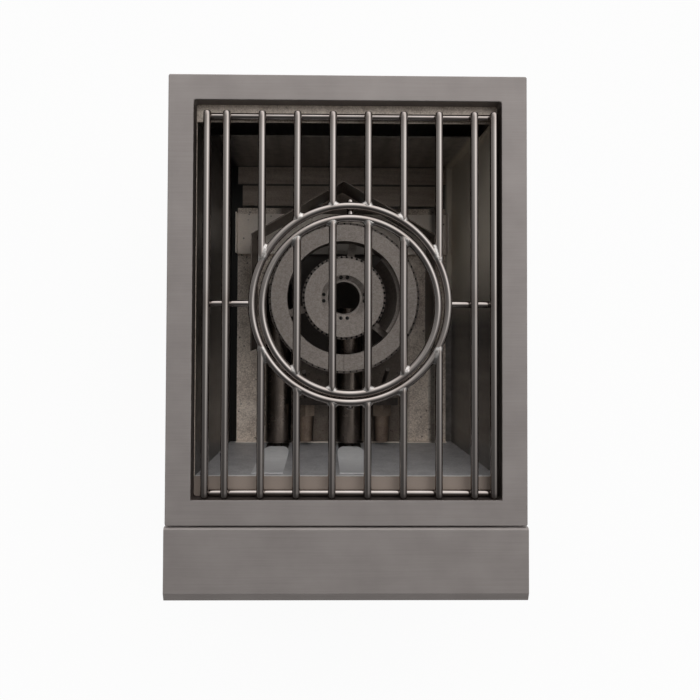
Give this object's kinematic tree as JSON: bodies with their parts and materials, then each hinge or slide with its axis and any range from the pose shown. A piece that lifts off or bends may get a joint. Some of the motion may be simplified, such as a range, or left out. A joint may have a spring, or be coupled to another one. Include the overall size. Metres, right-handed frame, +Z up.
{
  "type": "power side burner",
  "caption": "Drop-in gas burner: framed steel well with a rod grate, a loose ring insert for a wok, concentric ring burners with mixing tubes, and knobs under a front shelf.",
  "frame": {"origin": "middle of the underside of the bounding box, on the surface it stands on", "axes": "+Z up, +Y towards the back, +X to the right of someone facing the controls"},
  "size_m": [0.367, 0.531, 0.262],
  "materials": {
    "brushed_trim": "brushed stainless, long grain",
    "casing_sheet": "plain mill-finish stainless sheet",
    "liner_sheet": "dark mill-finish stainless, warm reflections",
    "tray_sheet": "mottled pale stainless floor sheet",
    "polished_rod": "polished round stainless rod with weld tint",
    "burner_casting": "bead-blasted pale casting",
    "tube_steel": "drawn tube, slightly heat tinted",
    "tinted_sheet": "thin sheet browned by heat",
    "cover_sheet": "bright stainless cover plates",
    "igniter_metal": "browned hex fittings",
    "boot_ceramic": "brown-grey tapered insulator",
    "brass": "machined brass",
    "pipe_steel": "plated square tube",
    "knob_metal": "satin turned metal",
    "black_plastic": "moulded black plastic",
    "fastener_steel": "domed stainless fasteners"
  },
  "bodies": {
    "chassis": {"top_frame": "brushed_trim", "front_shelf": "brushed_trim", "control_fascia": "brushed_trim", "casing_left": "casing_sheet", "casing_right": "casing_sheet", "casing_rear": "casing_sheet", "base_plate": "casing_sheet", "heat_shield": "casing_sheet", "liner_front": "liner_sheet", "liner_rear": "liner_sheet", "liner_left": "liner_sheet", "liner_right": "liner_sheet", "slot_covers": "cover_sheet", "burner_tray": "tray_sheet", "cross_bracket": "tray_sheet", "rear_louvres": "liner_sheet", "wind_shield": "tinted_sheet", "outer_burner_body": "burner_casting", "outer_burner_lid": "burner_casting", "inner_burner_body": "burner_casting", "inner_burner_cap": "burner_casting", "outer_venturi": "tube_steel", "inner_venturi": "tube_steel", "igniter_bracket": "tinted_sheet", "igniter_bushings": "igniter_metal", "igniter_boots": "boot_ceramic", "spark_electrodes": "igniter_metal", "gas_manifold": "pipe_steel", "manifold_clips": "casing_sheet", "gas_inlet": "brass", "outer_valve": "brass", "inner_valve": "brass", "outer_orifice": "brass", "inner_orifice": "brass", "knob_bezels": "knob_metal", "button_bezel": "knob_metal", "spark_module": "black_plastic", "fascia_screws": "fastener_steel", "rear_rivets": "fastener_steel"},
    "grate": {"grate_bars_left": "polished_rod", "grate_bars_right": "polished_rod", "grate_bars_rear": "polished_rod", "grate_bars_front": "polished_rod", "grate_cross_rods": "polished_rod", "grate_ring": "polished_rod", "grate_side_rods": "polished_rod", "grate_pegs": "polished_rod"},
    "insert": {"insert_ring": "polished_rod", "insert_bars": "polished_rod"},
    "outer_plunger": {"outer_push_collar": "fastener_steel"},
    "inner_plunger": {"inner_push_collar": "fastener_steel"},
    "outer_knob": {"outer_knob": "knob_metal", "outer_stem": "fastener_steel"},
    "inner_knob": {"inner_knob": "knob_metal", "inner_stem": "fastener_steel"},
    "button": {"igniter_button": "black_plastic"},
    "outer_shutter": {"outer_shutter": "tube_steel"},
    "inner_shutter": {"inner_shutter": "tube_steel"}
  },
  "joints": [
    {"name": "grate_lift", "type": "slide", "parent": "chassis", "child": "grate", "axis": [0, 0, 1], "range_m": [0, 0.25]},
    {"name": "insert_lift", "type": "slide", "parent": "grate", "child": "insert", "axis": [0, 0, 1], "range_m": [0, 0.2]},
    {"name": "outer_knob_push", "type": "slide", "parent": "chassis", "child": "outer_plunger", "axis": [0, 1, 0], "range_m": [0, 0.003], "stiffness_N_per_m": 800, "springref_m": -0.003},
    {"name": "outer_knob_turn", "type": "hinge", "parent": "outer_plunger", "child": "outer_knob", "pos_m": [-0.0824, -0.24, 0.07185], "axis": [0, -1, 0], "range_deg": [0, 240]},
    {"name": "inner_knob_push", "type": "slide", "parent": "chassis", "child": "inner_plunger", "axis": [0, 1, 0], "range_m": [0, 0.003], "stiffness_N_per_m": 800, "springref_m": -0.003},
    {"name": "inner_knob_turn", "type": "hinge", "parent": "inner_plunger", "child": "inner_knob", "pos_m": [0.01, -0.24, 0.07185], "axis": [0, -1, 0], "range_deg": [0, 240]},
    {"name": "igniter_press", "type": "slide", "parent": "chassis", "child": "button", "axis": [0, 1, 0], "range_m": [0, 0.004], "stiffness_N_per_m": 900, "springref_m": -0.002},
    {"name": "outer_shutter_turn", "type": "hinge", "parent": "chassis", "child": "outer_shutter", "pos_m": [-0.0824, -0.1396, 0.07185], "axis": [0, -1, 0], "range_deg": [0, 45]},
    {"name": "inner_shutter_turn", "type": "hinge", "parent": "chassis", "child": "inner_shutter", "pos_m": [0.01, -0.1396, 0.07185], "axis": [0, -1, 0], "range_deg": [0, 45]}
  ]
}
